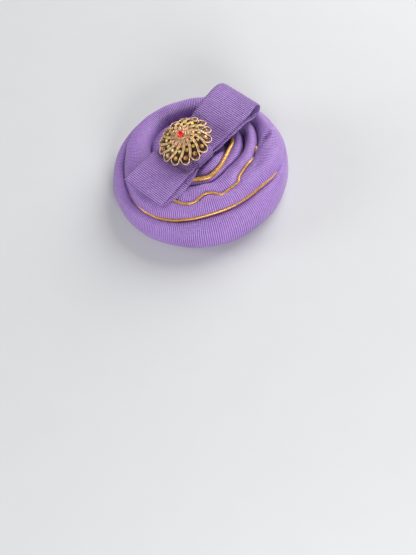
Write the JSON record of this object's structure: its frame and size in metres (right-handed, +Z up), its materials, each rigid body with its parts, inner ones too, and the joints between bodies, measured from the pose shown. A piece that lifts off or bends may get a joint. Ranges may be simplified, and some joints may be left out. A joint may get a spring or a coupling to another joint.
{
  "type": "fascinator headpiece",
  "caption": "Round padded fascinator of ribbed violet fabric rolls with gold piping, a flat bow and a jewelled spiral brooch; comb and elastic beneath.",
  "frame": {"origin": "centre of the rim's underside, on the surface that the headpiece rests on", "axes": "+Z up out of the crown, +X towards the wearer's front, +Y towards the wearer's left"},
  "size_m": [0.138, 0.138, 0.0573],
  "materials": {
    "cover_fabric": "ribbed satin weave, soft sheen",
    "bow_fabric": "ribbed satin weave, ribs across the band",
    "piping_satin": "gold satin bias over cord",
    "wadding": "white polyester wadding",
    "buckram": "stiffened open weave",
    "lining": "dark violet satin",
    "ribbon": "petersham ribbon",
    "thread": "sewing thread",
    "elastic_black": "round braided elastic",
    "wire_steel": "drawn wire",
    "joiner_brass": "crimped sleeve",
    "antique_gold": "antiqued gold plate",
    "dark_recess": "oxidised recess",
    "red_stone": "faceted glass",
    "amber_stone": "faceted glass",
    "green_stone": "faceted glass",
    "topaz_stone": "faceted glass",
    "comb_metal": "nickel-plated wire"
  },
  "bodies": {
    "headpiece": {"base_buckram": "buckram", "base_lining": "lining", "rim_ribbon": "ribbon", "edge_wire": "wire_steel", "wire_joiner": "joiner_brass", "crown_padding": "wadding", "outer_roll": "cover_fabric", "outer_roll_wadding": "wadding", "second_roll": "cover_fabric", "second_roll_wadding": "wadding", "third_fold": "cover_fabric", "fourth_fold": "cover_fabric", "side_fold": "cover_fabric", "crown_panel": "cover_fabric", "outer_piping": "piping_satin", "middle_piping": "piping_satin", "inner_piping": "piping_satin", "bow_upper_loop": "bow_fabric", "bow_lower_loop": "bow_fabric", "bow_waist_wrap": "bow_fabric", "bow_stitches": "thread", "brooch_back_plate": "antique_gold", "brooch_dome": "dark_recess", "petal_wires": "antique_gold", "stone_cups": "antique_gold", "inner_stones": "amber_stone", "middle_stones": "green_stone", "tip_stones": "topaz_stone", "stone_collet": "antique_gold", "collet_claws": "antique_gold", "centre_stone": "red_stone", "hinge_block": "antique_gold", "hinge_rivet": "wire_steel", "catch_base": "antique_gold", "comb_bar": "comb_metal", "comb_teeth": "comb_metal", "comb_tape": "ribbon", "comb_stitches": "thread", "elastic": "elastic_black", "elastic_knots": "elastic_black"},
    "pin": {"pin_stem": "wire_steel"},
    "catch": {"catch_sleeve": "wire_steel"}
  },
  "joints": [
    {"name": "pin_swing", "type": "hinge", "parent": "headpiece", "child": "pin", "pos_m": [-0.01544, -0.00273, 0.03872], "axis": [-0.5916, 0.8017, -0.0851], "range_deg": [0, 11]},
    {"name": "catch_turn", "type": "hinge", "parent": "headpiece", "child": "catch", "pos_m": [0.00238, 0.01095, 0.04365], "axis": [0.7748, 0.5946, 0.2147], "range_deg": [0, 90]}
  ]
}
